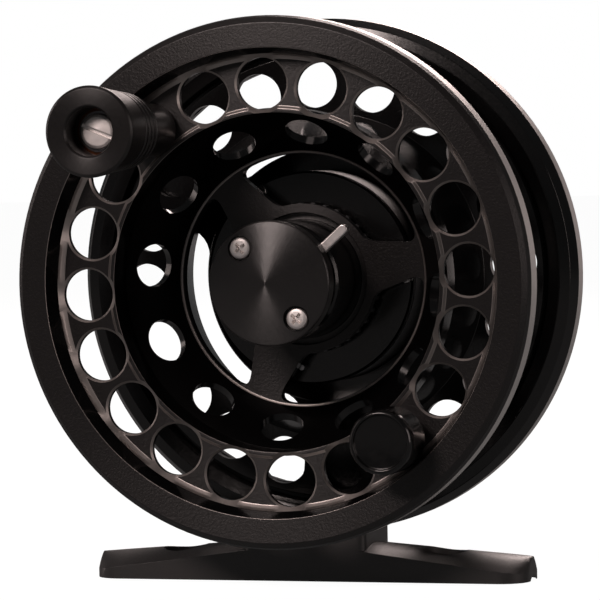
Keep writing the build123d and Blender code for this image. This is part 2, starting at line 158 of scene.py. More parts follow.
def loft_into(bm, near, far):
    """Close the solid between two matching loops of vertices."""
    bm.faces.new(near)
    bm.faces.new(list(reversed(far)))
    for index in range(len(near)):
        after = (index + 1) % len(near)
        bm.faces.new((near[index], far[index], far[after], near[after]))


def prism_into(bm, points, front, back):
    """Add a straight prism between two depths; points are (x, z) as seen from the front."""
    near = [bm.verts.new(reel(x, front, z)) for x, z in points]
    far = [bm.verts.new(reel(x, back, z)) for x, z in points]
    loft_into(bm, near, far)


def column_into(bm, points, low, high):
    """Add a straight upright prism; points are (x, y) in metres, low and high millimetres."""
    near = [bm.verts.new((x, y, low * MM)) for x, y in points]
    far = [bm.verts.new((x, y, high * MM)) for x, y in points]
    loft_into(bm, near, far)


def combine(target, tool, operation):
    """Apply one boolean and remove the tool."""
    modifier = target.modifiers.new("combine", "BOOLEAN")
    modifier.operation = operation
    modifier.solver = "EXACT"
    modifier.object = tool
    graph = bpy.context.evaluated_depsgraph_get()
    made = bpy.data.meshes.new_from_object(target.evaluated_get(graph))
    target.modifiers.clear()
    old = target.data
    target.data = made
    bpy.data.meshes.remove(old)
    bpy.data.objects.remove(tool)


def cut(target, build):
    """Cut away everything that build(bm) adds to a fresh bmesh."""
    bm = bmesh.new()
    build(bm)
    combine(target, mesh_object("tool", bm), "DIFFERENCE")


def add(target, build):
    """Join on everything that build(bm) adds to a fresh bmesh."""
    bm = bmesh.new()
    build(bm)
    combine(target, mesh_object("tool", bm), "UNION")


def finish_surface(obj, sharp_degrees=35):
    """Smooth shading that keeps flats flat and machined edges crisp."""
    mesh = obj.data
    for polygon in mesh.polygons:
        polygon.use_smooth = True
    mesh.set_sharp_from_angle(angle=math.radians(sharp_degrees))
    weighted = obj.modifiers.new("weighted", "WEIGHTED_NORMAL")
    weighted.keep_sharp = True
    weighted.weight = 80


def dress(obj, body, nodes, material, sharp_degrees=35):
    """Give a new piece its body, the CAD nodes it stands for, its shading and its material."""
    finish_surface(obj, sharp_degrees)
    obj.data.materials.clear()
    obj.data.materials.append(material)
    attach(obj, body)
    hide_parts(*nodes)


def break_edges(obj, width, segments):
    """Bevel the sharp edges of a piece; width is in millimetres."""
    bevel = obj.modifiers.new("edge", "BEVEL")
    bevel.width = width * MM
    bevel.segments = segments
    bevel.angle_limit = math.radians(50)


# ---- materials ------------------------------------------------------------------------------
class Nodes:
    """A short way to write a node tree."""

    def __init__(self, name):
        self.material = bpy.data.materials.new(name)
        self.material.use_nodes = True
        self.tree = self.material.node_tree
        self.shader = self.tree.nodes["Principled BSDF"]

    def node(self, kind, **values):
        made = self.tree.nodes.new(kind)
        for key, value in values.items():
            if hasattr(made, key):
                setattr(made, key, value)
            else:
                made.inputs[key.replace("_", " ")].default_value = value
        return made

    def link(self, out, into):
        self.tree.links.new(out, into)

    def object_position(self):
        return self.node("ShaderNodeTexCoord").outputs["Object"]

    def noise(self, scale, detail=4.0, roughness=0.6):
        made = self.node("ShaderNodeTexNoise", Scale=scale, Detail=detail, Roughness=roughness)
        self.link(self.object_position(), made.inputs["Vector"])
        return made.outputs["Fac"]

    def spread(self, value, low_in, high_in, low, high):
        made = self.node("ShaderNodeMapRange")
        for name, number in (("From Min", low_in), ("From Max", high_in), ("To Min", low),
                             ("To Max", high)):
            made.inputs[name].default_value = number
        self.link(value, made.inputs["Value"])
        return made.outputs["Result"]

    def mottle(self, value, first, second):
        """Colour that goes from first to second as a noise value rises."""
        made = self.node("ShaderNodeMix", data_type="RGBA")
        self.link(self.spread(value, 0.3, 0.7, 0.0, 1.0), made.inputs["Factor"])
        for socket, colour in ((made.inputs[6], first), (made.inputs[7], second)):
            socket.default_value = (*colour, 1.0)
        self.link(made.outputs[2], self.shader.inputs["Base Color"])

    def roughen(self, value, low_in, high_in, low, high):
        self.link(self.spread(value, low_in, high_in, low, high), self.shader.inputs["Roughness"])

    def math(self, operation, first, second=None):
        made = self.node("ShaderNodeMath", operation=operation)
        for socket, value in zip(made.inputs, (first, second)):
            if value is None:
                continue
            if isinstance(value, (int, float)):
                socket.default_value = value
            else:
                self.link(value, socket)
        return made.outputs[0]

    def lines(self, position, pitch):
        """Fine turning lines along a position in metres; pitch is in millimetres."""
        return self.math("SINE", self.math("MULTIPLY", position, 2 * math.pi / (pitch * MM)))

    def bump(self, height, strength, distance):
        made = self.node("ShaderNodeBump", Strength=strength, Distance=distance)
        self.link(height, made.inputs["Height"])
        self.link(made.outputs["Normal"], self.shader.inputs["Normal"])


def radius_from_axis(nodes, centre=None):
    """Distance from the reel axis, or from a parallel axis through centre, in metres."""
    centre = centre or AXIS
    parts = nodes.node("ShaderNodeSeparateXYZ")
    nodes.link(nodes.object_position(), parts.inputs[0])
    x = nodes.math("SUBTRACT", parts.outputs["X"], centre.x)
    z = nodes.math("SUBTRACT", parts.outputs["Z"], centre.z)
    squares = nodes.math("ADD", nodes.math("MULTIPLY", x, x), nodes.math("MULTIPLY", z, z))
    return nodes.math("SQRT", squares), parts.outputs["Y"]


def shaded(colour, factor):
    return tuple(factor * value for value in colour)


def anodised(name, colour, roughness, grain=0.25, turned=0.0, centre=None, brushed=0.0,
             level=0.5):
    """Dark anodised aluminium: bead-blasted grain, faint mottling, optional turning lines.

    Grain and turned are the heights of the grain and of the lines. Brushed is the anisotropy of a
    turned face, whose sheen then runs along the radius.
    """
    nodes = Nodes(name)
    shader = nodes.shader
    if brushed:
        shader.inputs["Anisotropic"].default_value = brushed
        shader.inputs["Anisotropic Rotation"].default_value = 0.25
        tangent = nodes.node("ShaderNodeTangent", direction_type="RADIAL", axis="Y")
        nodes.link(tangent.outputs["Tangent"], shader.inputs["Tangent"])
    shader.inputs["Specular IOR Level"].default_value = level
    nodes.mottle(nodes.noise(90, 3.0), shaded(colour, 0.82), shaded(colour, 1.15))
    fine = nodes.noise(2600, 2.0, 0.7)
    nodes.roughen(fine, 0.25, 0.75, roughness - 0.06, roughness + 0.07)
    height = nodes.math("MULTIPLY", fine, grain)
    if turned:
        radius, _ = radius_from_axis(nodes, centre)
        marks = nodes.math("MULTIPLY", nodes.lines(radius, 0.16), turned)
        height = nodes.math("ADD", height, marks)
    nodes.bump(height, 0.35, 0.04 * MM)
    shader.inputs["Coat Weight"].default_value = 0.12
    shader.inputs["Coat Roughness"].default_value = 0.3
    return nodes.material


def bare_metal(name, colour, roughness, turned=0.5, centre=None, grain=0.3):
    """Bright machined metal with fine turning marks about an axis."""
    nodes = Nodes(name)
    nodes.shader.inputs["Metallic"].default_value = 1.0
    nodes.mottle(nodes.noise(220, 3.0), shaded(colour, 0.86), colour)
    fine = nodes.noise(3200, 2.0, 0.7)
    nodes.roughen(fine, 0.25, 0.75, roughness - 0.05, roughness + 0.06)
    radius, depth = radius_from_axis(nodes, centre)
    marks = nodes.math("MULTIPLY", nodes.lines(nodes.math("ADD", radius, depth), 0.11), turned)
    nodes.bump(nodes.math("ADD", nodes.math("MULTIPLY", fine, grain), marks), 0.3, 0.02 * MM)
    return nodes.material


def plain(name, colour, roughness, scale=900, contrast=0.25):
    """Moulded or composite surface with a little mottling."""
    nodes = Nodes(name)
    fine = nodes.noise(scale, 4.0)
    nodes.mottle(fine, shaded(colour, 1 - contrast), colour)
    nodes.roughen(fine, 0.3, 0.7, roughness - 0.05, roughness + 0.05)
    nodes.bump(fine, 0.3, 0.03 * MM)
    return nodes.material


BLACK = (0.006, 0.0045, 0.0044)
# A deeper black: the gloss and insert parts have it as their own colour, and the "inner" material uses it as
# painted shade.
BLACK_DARK = (0.002, 0.0018, 0.0019)
NICKEL = (0.92, 0.88, 0.86)
HANDLE_AXIS = AXIS + HANDLE_POS

MATERIALS = {
    "spool": anodised("spool_anodised", BLACK, 0.41, grain=3.8, turned=0.2, brushed=0.62),
    "frame": anodised("frame_anodised", BLACK, 0.42, turned=0.15),
    "foot": anodised("foot_anodised", BLACK, 0.5, grain=0.5, level=0.95),
    "cap": anodised("cap_anodised", BLACK, 0.34, turned=0.5, brushed=0.75, level=0.8),
    "knob": anodised("knob_anodised", BLACK, 0.36, turned=0.3, centre=HANDLE_AXIS, brushed=0.5),
    "post": anodised("post_anodised", BLACK, 0.34, turned=0.3, centre=HANDLE_AXIS),
    "lever": bare_metal("lever_nickel", (0.9, 0.86, 0.84), 0.38, turned=0.1),
    "gloss": anodised("gloss_anodised", BLACK_DARK, 0.16, grain=0.1),
    # The "edge" material is a painted highlight: a lighter metal colour on chamfers and lips stands in for the
    # bright lines that light makes there.
    "edge": bare_metal("painted_highlight_edge", (0.46, 0.42, 0.40), 0.42, turned=0.1),
    # The "inner" material is painted shade: its deeper black darkens recessed and hidden faces where shade falls.
    # Its low roughness is the real gloss of those faces.
    "inner": anodised("painted_shade_gloss_anodised", BLACK_DARK, 0.16, grain=0.1),
    "band": bare_metal("bare_band", (0.80, 0.765, 0.745), 0.42, turned=0.12, grain=0.1),
    "steel": bare_metal("bright_steel", (0.78, 0.76, 0.74), 0.2),
    "screw": bare_metal("screw_nickel", NICKEL, 0.5, turned=0.2),
    "handle_screw": bare_metal("handle_screw_nickel", NICKEL, 0.52, centre=HANDLE_AXIS),
    "dark_screw": bare_metal("blackened_steel", (0.12, 0.12, 0.125), 0.3, turned=0.2),
    "spring": bare_metal("spring_steel", (0.5, 0.5, 0.51), 0.3, turned=0.1),
    "aluminium": bare_metal("machined_aluminium", (0.75, 0.75, 0.76), 0.3),
    "brass": bare_metal("machined_brass", (0.72, 0.52, 0.24), 0.28),
    "bronze": bare_metal("sintered_bronze", (0.09, 0.035, 0.018), 0.45),
    "rubber": plain("seal_rubber", (0.02, 0.02, 0.02), 0.6),
    "composite": plain("carbon_composite", (0.06, 0.06, 0.065), 0.5, scale=1500, contrast=0.5),
    "insert": plain("weight_insert", BLACK_DARK, 0.2, scale=500),
}

# The material of each slot in the record, and of two nodes that look different from their slot.
SLOT_MATERIALS = {
    "black_frame": "frame", "black_foot": "foot", "black_spool": "spool", "black_cap": "cap",
    "black_knob": "knob", "black_post": "post", "gloss_black": "gloss",
    # The cover deep inside the frame takes the "inner" material, whose deeper black is painted shade.
    "black_drag_knob": "frame", "black_cover": "inner", "bright_steel": "steel",
    "dark_screws": "dark_screw", "spring_steel": "spring", "plain_aluminium": "aluminium",
    "brass": "brass", "seal_rubber": "rubber", "friction_composite": "composite",
}
NODE_MATERIALS = {"handle_bushes": "bronze", "handle_washer": "dark_screw"}


def paint_cad_nodes():
    """Give every CAD node its procedural material."""
    for name, obj in frame["nodes"].items():
        material = MATERIALS[NODE_MATERIALS.get(name, SLOT_MATERIALS[SLOTS[name]])]
        for slot in obj.material_slots:
            slot.material = material
        if not obj.material_slots:
            obj.data.materials.append(material)


def paint_faces(obj, material, wanted):
    """Give a material to the faces for which wanted(depth, radius, outward, along) is true.

    Depth and radius are the face centre's, in millimetres; outward and along are the parts of its
    normal that point away from the reel axis and along it.
    """
    obj.data.materials.append(material)
    last = len(obj.data.materials) - 1
    for polygon in obj.data.polygons:
        centre, normal = polygon.center, polygon.normal
        depth = (centre.y - FRONT_Y) / MM
        across = Vector((centre.x - AXIS.x, centre.z - AXIS.z)) / MM
        radius = max(across.length, TINY)
        outward = (normal.x * across.x + normal.z * across.y) / radius
        if wanted(depth, radius, outward, normal.y):
            polygon.material_index = last


def band_faces(obj, front, back):
    """The bare machined band round the outside of a rim."""
    nearly_full = REEL_R - 0.07
    paint_faces(obj, MATERIALS["band"],
                lambda depth, radius, outward, along: radius > nearly_full and front < depth < back)


# ---- spool ----------------------------------------------------------------------------------
REEL_R = 40.0
RING_FRONT = 4.2
FLANGE_BACK = 5.7
HOLE_R = 3.9
HOLE_COUNT = 20
HOLE_CHAMFER = 0.3
REAR_HOLE_R = 3.7
DRUM_R = 25.5
WINDOW_COUNT = 12
WINDOW_R = 3.3
WINDOW_CENTRE = (23.0, 14.2)    # radius and depth of a window's middle
WINDOW_SLANT = (8.9, 6.0)       # the way its drill points, as (radius, depth)
WINDOW_REACH = 3.0
FIRST_WINDOW = 24.0
BOSS_R = 11.5
WEB_R = 19.5
OPENING_R = 19.2
ARM_REACH = (9.0, 21.0)         # radii where a tapered arm has the half widths below
ARM_HALF = (4.6, 1.95)
WEB_FRONT, WEB_BACK = 18.4, 20.2
GEAR_FRONT = 20.4
SCREW_CIRCLE_R = 6.8
LEVER_SLIDE = JOINTS["release_lever_slide"]["axis"]
LEVER_ANGLE = math.degrees(math.atan2(-LEVER_SLIDE[2], -LEVER_SLIDE[0]))
LEVER_REACH = 14.0
LEVER_WIDTH = 1.5
LEVER_SHIFT = -1.3              # the lever stands this far to one side of the axis
LEVER_FREE = 0.25               # and has this much room in its slot on either side


def turn_faces(bm, first_vertex, angle):
    """Turn what was added to a bmesh since first_vertex about the reel axis."""
    bm.verts.ensure_lookup_table()
    turn = (Matrix.Translation(AXIS) @ Matrix.Rotation(math.radians(-angle), 4, "Y")
            @ Matrix.Translation(-AXIS))
    bmesh.ops.transform(bm, matrix=turn, verts=bm.verts[first_vertex:])


def rounded_opening(inner, outer, start, end, inner_corner, outer_corner, steps=6):
    """Outline of an annular-sector opening with rounded corners, as (x, z) points."""
    points = []

    def arc(radius, first, last, count):
        for index in range(count + 1):
            points.append(polar(radius, first + (last - first) * index / count))

    def bend(radius_from, angle_from, corner_radius, corner_angle, radius_to, angle_to):
        a = Vector(polar(radius_from, angle_from))
        b = Vector(polar(corner_radius, corner_angle))
        c = Vector(polar(radius_to, angle_to))
        for index in range(1, steps):
            t = index / steps
            points.append(tuple(a * (1 - t) ** 2 + b * (2 * t * (1 - t)) + c * t ** 2))

    outer_pull = math.degrees(outer_corner / outer)
    inner_pull = math.degrees(inner_corner / inner)
    near, far = inner + inner_corner, outer - outer_corner
    start_out, end_out = start(outer), end(outer)
    start_in, end_in = start(inner), end(inner)
    arc(outer, start_out + outer_pull, end_out - outer_pull, 24)
    bend(outer, end_out - outer_pull, outer, end_out, far, end(far))
    points.append(polar(far, end(far)))
    points.append(polar(near, end(near)))
    bend(near, end(near), inner, end_in, inner, end_in - inner_pull)
    arc(inner, end_in - inner_pull, start_in + inner_pull, 20)
    bend(inner, start_in + inner_pull, inner, start_in, near, start(near))
    points.append(polar(near, start(near)))
    points.append(polar(far, start(far)))
    bend(far, start(far), outer, start_out, outer, start_out + outer_pull)
    return points


def arm_gap(first_arm, next_arm, half_width):
    """Angles, as a function of radius, of the two straight sides of an opening between arms."""
    def start(radius):
        return first_arm + math.degrees(math.asin(half_width(radius) / radius))

    def end(radius):
        return next_arm - math.degrees(math.asin(half_width(radius) / radius))

    return start, end


def spool_arm_half(radius):
    """Half width of a tapered spool arm at a distance from the axis."""
    share = (radius - ARM_REACH[0]) / (ARM_REACH[1] - ARM_REACH[0])
    return ARM_HALF[0] + (ARM_HALF[1] - ARM_HALF[0]) * share


def make_spool():
    shell = [
        (35.2, 0), (38.9, 0), (39.7, 0.9), (REEL_R, 1.8), (REEL_R, 5.3), (39.6, FLANGE_BACK),
        (26.2, FLANGE_BACK), (26.2, 10.2), (20.9, 18.7), (20.6, 20.6), (25.2, 32.0), (34.6, 32.0),
        (34.6, 33.5), (22.55, 33.5), (19.3, WEB_BACK), (10.0, WEB_BACK), (10.0, GEAR_FRONT),
        (8.9, GEAR_FRONT), (8.9, 22.0), (5.0, 22.0), (5.0, 3.2), (8.6, 3.2), (8.6, 6.6), (9.1, 7.0),
        (9.1, 19.4), (10.1, 19.4), (10.1, WEB_FRONT), (WEB_R - 0.2, WEB_FRONT),
        (WEB_R + 0.12, WEB_FRONT - 0.18), (DRUM_R, 9.5), (DRUM_R, 3.8), (26.1, 3.8),
        (26.5, RING_FRONT), (33.55, RING_FRONT), (34.05, 3.8), (34.3, 3.4)]
    spool = lathe("spool_body", shell, ROUND)

    def openings(bm):
        for arm in range(3):
            first = HANDLE_ANGLE + 120 * arm
            sides = arm_gap(first, first + 120, spool_arm_half)
            outline = rounded_opening(BOSS_R, OPENING_R, *sides, 1.4, 2.2)
            prism_into(bm, outline, 14.0, WEB_BACK + 1)

    def holes(bm):
        front = RING_FRONT - 1
        through = [(0, front), (HOLE_R + HOLE_CHAMFER + 1, front),
                   (HOLE_R, RING_FRONT + HOLE_CHAMFER), (HOLE_R, FLANGE_BACK - 0.25),
                   (HOLE_R + 0.5, FLANGE_BACK + 0.25), (0, FLANGE_BACK + 0.25)]
        rear = [(0, 31.4), (REAR_HOLE_R, 31.4), (REAR_HOLE_R, 34.1), (0, 34.1)]
        for index in range(HOLE_COUNT):
            x, z = polar(HOLE_CIRCLE_R, HANDLE_ANGLE + 360 / HOLE_COUNT * index)
            lathe_into(bm, rear, SMALL_ROUND, x, z)
            if index % (HOLE_COUNT // 2):
                lathe_into(bm, through, SMALL_ROUND, x, z)
        for side in (0, 180):
            x, z = polar(SCREW_CIRCLE_R, HANDLE_ANGLE + side)
            lathe_into(bm, [(0, 2), (0.8, 2), (0.8, 9), (0, 9)], 24, x, z)

    def windows(bm):
        slant = Vector(WINDOW_SLANT).normalized()
        for index in range(WINDOW_COUNT):
            start = len(bm.verts)
            for end in (-WINDOW_REACH, WINDOW_REACH):
                centre = Vector(WINDOW_CENTRE) + slant * end
                for step in range(SMALL_ROUND):
                    angle = 2 * math.pi * step / SMALL_ROUND
                    across = WINDOW_R * math.cos(angle)
                    bm.verts.new(reel(centre.x - slant.y * across, centre.y + slant.x * across,
                                      WINDOW_R * math.sin(angle)))
            bm.verts.ensure_lookup_table()
            near = bm.verts[start:start + SMALL_ROUND]
            far = bm.verts[start + SMALL_ROUND:start + 2 * SMALL_ROUND]
            loft_into(bm, near, far)
            turn_faces(bm, start, FIRST_WINDOW + 360 / WINDOW_COUNT * index)

    def latch_pocket(bm):
        start = len(bm.verts)
        low = LEVER_SHIFT - LEVER_WIDTH / 2 - LEVER_FREE
        high = LEVER_SHIFT + LEVER_WIDTH / 2 + LEVER_FREE
        prism_into(bm, [(-5.95, -4.1), (6.45, -4.1), (6.45, low), (9.5, low), (9.5, high),
                        (6.45, high), (6.45, 4.1), (-5.95, 4.1), (-5.95, 0.95), (-7.6, 0.95),
                        (-7.6, -0.95), (-5.95, -0.95)], 2.2, 4.9)
        turn_faces(bm, start, LEVER_ANGLE)

    for build in (openings, holes, windows, latch_pocket):
        cut(spool, build)
    dress(spool, "spool", ["spool"], MATERIALS["spool"])

    # Recessed faces (the line space, the hub walls, the hole bores) get the "inner" material's deeper black as
    # painted shade, and its real gloss.
    def painted_shade_faces(depth, radius, outward, along):
        line_side = depth > FLANGE_BACK + 0.05 and radius > 20.2
        hub_walls = abs(outward) > 0.3 and radius < 26.3 and depth > 3.9
        bores = abs(along) < 0.5 and 26.3 < radius < 35.3 and 0.2 < depth < FLANGE_BACK
        return line_side or hub_walls or bores

    # Hole chamfers, ring lips and the web lip, which get the "edge" material as painted highlight lines.
    def edges(depth, radius, outward, along):
        web_lip = WEB_R - 0.3 < radius < WEB_R + 0.2 and WEB_FRONT - 0.2 < depth < WEB_FRONT
        ring_lips = 25.4 < radius < 35.5 and -0.1 < depth < 4.7
        return 0.3 < abs(along) < 0.95 and (web_lip or ring_lips)

    paint_faces(spool, MATERIALS["inner"], painted_shade_faces)
    paint_faces(spool, MATERIALS["edge"], edges)
    band_faces(spool, 1.95, 5.32)


# ---- hub cap, its screws and the release lever ----------------------------------------------
def make_hub_cap():
    cap = lathe("hub_cap_turned", [(0, -1.4), (9.2, 0.7), (9.4, 0.95), (9.4, 3.2), (3.4, 3.2),
                                   (3.4, 1.4), (0, 1.4)], ROUND, round_edges=0.1)

    def screw_holes(bm):
        for side in (0, 180):
            x, z = polar(SCREW_CIRCLE_R, HANDLE_ANGLE + side)
            lathe_into(bm, [(0, -2), (1.95, -2), (1.95, 1.3), (0.85, 1.3), (0.85, 4), (0, 4)],
                       SMALL_ROUND, x, z)

    cut(cap, screw_holes)
    dress(cap, "spool", ["hub_cap"], MATERIALS["cap"], 25)


def cross_recess_into(bm, x, z, front, turn, reach, width, depth):
    """A cross-head driver recess that narrows towards its bottom."""
    arms = []
    for quarter in range(4):
        angle = math.radians(turn + 90 * quarter)
        along = Vector((math.cos(angle), math.sin(angle)))
        side = Vector((-along.y, along.x))
        arms += [along * reach - side * width / 2, along * reach + side * width / 2,
                 along * width * 0.62 + side * width * 0.62]
    near = [bm.verts.new(reel(x + p.x, front - 0.05, z + p.y)) for p in arms]
    far = [bm.verts.new(reel(x + p.x * 0.45, front + depth, z + p.y * 0.45)) for p in arms]
    loft_into(bm, near, far)


def make_cap_screws():
    for number, side in enumerate((0, 180)):
        x, z = polar(SCREW_CIRCLE_R, HANDLE_ANGLE + side)
        head = lathe(f"hub_cap_screw_{number + 1}",
                     [(0, 0.12), (1.15, 0.2), (1.5, 0.34), (1.65, 0.6), (1.65, 1.3), (0.78, 1.3),
                      (0.78, 8.4), (0, 8.4)], SMALL_ROUND, (x, z), 0.08)
        cut(head, lambda bm: cross_recess_into(bm, x, z, 0.1, 38 + 14 * number, 1.05, 0.5, 0.75))
        dress(head, "spool", ["hub_cap_screws"], MATERIALS["screw"], 30)


def make_release_lever():
    half = LEVER_WIDTH / 2
    tip = LEVER_REACH - half
    low, high = LEVER_SHIFT - half, LEVER_SHIFT + half
    rounding = [(tip + half * math.cos(math.radians(angle)),
                 LEVER_SHIFT + half * math.sin(math.radians(angle))) for angle in range(-90, 91, 15)]
    outline = ([(4.8, -3.9), (6.2, -2.6), (6.2, low)] + rounding
               + [(6.2, high), (6.2, 2.6), (4.8, 3.9), (-4.0, 3.9), (-5.0, 2.9), (-5.0, -2.9),
                  (-4.0, -3.9)])
    bm = bmesh.new()
    prism_into(bm, outline, 3.45, 4.75)
    turn_faces(bm, 0, LEVER_ANGLE)
    lever = mesh_object("release_lever_plate", bm)

    def hole(bm):
        x, z = polar(0.75, LEVER_ANGLE)
        lathe_into(bm, [(0, 3), (2.65, 3), (2.65, 5.2), (0, 5.2)], SMALL_ROUND, x, z)

    cut(lever, hole)
    break_edges(lever, 0.28, 3)
    dress(lever, "release_lever", ["release_lever"], MATERIALS["lever"], 40)


# ---- handle and counterweight ---------------------------------------------------------------
KNOB_FACE = -25.0
KNOB_GROOVES = 4
SLOT_ANGLE = -22
WEIGHT_FACE = -6.5


def make_handle():
    place = polar(HOLE_CIRCLE_R, HANDLE_ANGLE)
    face = KNOB_FACE
    outline = [(3.55, face + 0.35), (3.85, face), (6.3, face), (6.7, face + 0.4), (6.62, -23.4)]
    for index in range(KNOB_GROOVES):
        start = -17.0 + 1.9 * index
        radius = 6.1 - 0.12 * index
        outline += [(radius, start), (radius - 0.3, start + 0.3), (radius - 0.3, start + 0.7),
                    (radius - 0.05, start + 1.0)]
    outline += [(5.6, -10.4), (5.2, -10.0), (3.5, -10.0), (3.5, -20.2), (3.55, -20.2)]
    knob = lathe("handle_knob_turned", outline, ROUND, place, 0.1)
    dress(knob, "handle_knob", ["handle_knob"], MATERIALS["knob"])

    post = lathe("handle_post_turned",
                 [(0, -20), (2.2, -20), (2.4, -19.8), (2.4, -9.4), (3.7, -9.4), (4, -9.1), (4, 3.2),
                  (3.3, 3.7), (3.3, RING_FRONT), (0, RING_FRONT)], ROUND, place)
    dress(post, "spool", ["handle_post"], MATERIALS["post"])

    screw = lathe("handle_screw_slotted",
                  [(0, -21.42), (2.1, -21.3), (2.5, -21.1), (2.6, -20.9), (2.6, -20.4), (1.08, -20.4),
                   (1.08, -16.0), (0, -16.0)], SMALL_ROUND, place, 0.08)

    def slot(bm):
        along = Vector(polar(1.0, SLOT_ANGLE))
        side = Vector((-along.y, along.x)) * 0.3
        corners = [along * 3 + side, along * -3 + side, along * -3 - side, along * 3 - side]
        prism_into(bm, [(place[0] + p.x, place[1] + p.y) for p in corners], -22, -20.85)

    cut(screw, slot)
    dress(screw, "spool", ["handle_screw"], MATERIALS["handle_screw"], 30)


def make_counterweight():
    place = polar(HOLE_CIRCLE_R, HANDLE_ANGLE + 180)
    weight = lathe("counterweight_turned",
                   [(0, WEIGHT_FACE), (3.95, WEIGHT_FACE), (4.1, -7.0), (4.4, -7.0), (4.75, -6.6), (4.9, -5.7),
                    (4.9, 0.3), (3.3, 3.6), (3.3, RING_FRONT), (0, RING_FRONT)], ROUND, place)
    dress(weight, "spool", ["counterweight"], MATERIALS["gloss"])
    weight.data.materials.append(MATERIALS["insert"])
    for polygon in weight.data.polygons:
        centre = polygon.center - reel(place[0], 0, place[1])
        if abs(centre.y / MM - WEIGHT_FACE) < 0.05 and math.hypot(centre.x, centre.z) < 3.9 * MM:
            polygon.material_index = 1


# ---- frame, foot and drag knob --------------------------------------------------------------
DISC_R = 20.1
OPENING_EDGE_R = 33.6
OPENING_CORNER = 3.6
SPOKE_ANGLES = (30, 150, 270)
SPOKE_WIDTH = 10.0
FLUTE_COUNT = 12
FLUTE_R = 1.8
FLUTE_CIRCLE_R = 14.5


def make_frame():
    outline = [
        (35.5, 31.3), (37.4, 30.6), (39.0, 31.0), (REEL_R, 32.7), (REEL_R, 35.6), (39.6, 36.0),
        (8.0, 36.0), (8.0, 40.6), (7.4, 40.6), (7.4, 41.4), (8.0, 41.4), (7.8, 42.0), (4.02, 42.0),
        (4.02, 33.0), (14.4, 33.0), (14.4, 24.0), (16.4, 24.0), (16.4, 33.0), (19.7, 33.0),
        (DISC_R, 33.4), (DISC_R, 33.9), (34.3, 34.5), (35.5, 34.3)]
    body = lathe("frame_body", outline, ROUND)

    def gaps(bm):
        for first in SPOKE_ANGLES:
            sides = arm_gap(first, first + 120, lambda radius: SPOKE_WIDTH / 2)
            gap = rounded_opening(DISC_R, OPENING_EDGE_R, *sides, OPENING_CORNER, OPENING_CORNER)
            prism_into(bm, gap, 33.6, 37.0)

    cut(body, gaps)
    dress(body, "frame", ["frame"], MATERIALS["frame"])
    # The frame's faces that look towards the spool or the axis lie in the gap behind the spool. The "inner"
    # material gives them a deeper black as painted shade.
    paint_faces(body, MATERIALS["inner"],
                lambda depth, radius, outward, along: along < -0.3 or outward < -0.3)
    band_faces(body, 32.75, 35.7)


def make_drag_knob():
    outline = [(8.3, 36.9), (13.1, 36.9), (13.5, 37.3), (13.5, 44.2), (12.7, 45.8), (11.4, 46.4),
               (9.9, 46.4), (9.6, 46.1), (9.6, 40.4), (8.3, 40.4)]
    knob = lathe("drag_knob_fluted", outline, ROUND, round_edges=0.2)

    def flutes(bm):
        for index in range(FLUTE_COUNT):
            x, z = polar(FLUTE_CIRCLE_R, 360 / FLUTE_COUNT * index)
            lathe_into(bm, [(0, 38.1), (FLUTE_R, 38.1), (FLUTE_R, 48), (0, 48)], 48, x, z)

    cut(knob, flutes)
    dress(knob, "drag_knob", ["drag_knob"], MATERIALS["frame"])


STEM_OVERHANG = 1.6 * MM        # the stem is this much deeper than the foot, to meet the ring
STEM_HALF = 9.7
STEM_CORNER = 1.2
STEM_LOW, STEM_HIGH = 2.4, 12.3
SEAT_R = 36.0                   # the stem's top is hollowed to seat on the frame ring
FOOT_CORNER = 4.2
FOOT_ROOT_X = 9.2
FOOT_BORES_X = 21.0
FOOT_BORE_R = 3.5
FOOT_ROOT = (4.65, 1.0)         # thickness at the edge, and how far the top is crowned above it
FOOT_TIP = (1.3, 2.4)


def foot_section(edge, crown, steps=12):
    """Cross-section of the foot as (depth, height) points: rails, hollow sole, crowned top."""
    width = (FOOT_HIGH.y - FOOT_LOW.y - STEM_OVERHANG) / MM
    rail = 1.0
    hollow = min(1.0, edge * 0.55)

    def arch(first, last, low, rise):
        points = []
        for index in range(steps + 1):
            t = index / steps
            points.append((first + (last - first) * t, low + rise * 4 * t * (1 - t)))
        return points

    return ([(0, 0)] + arch(rail, width - rail, 0, hollow) + [(width, 0)]
            + arch(width, 0, edge, crown))


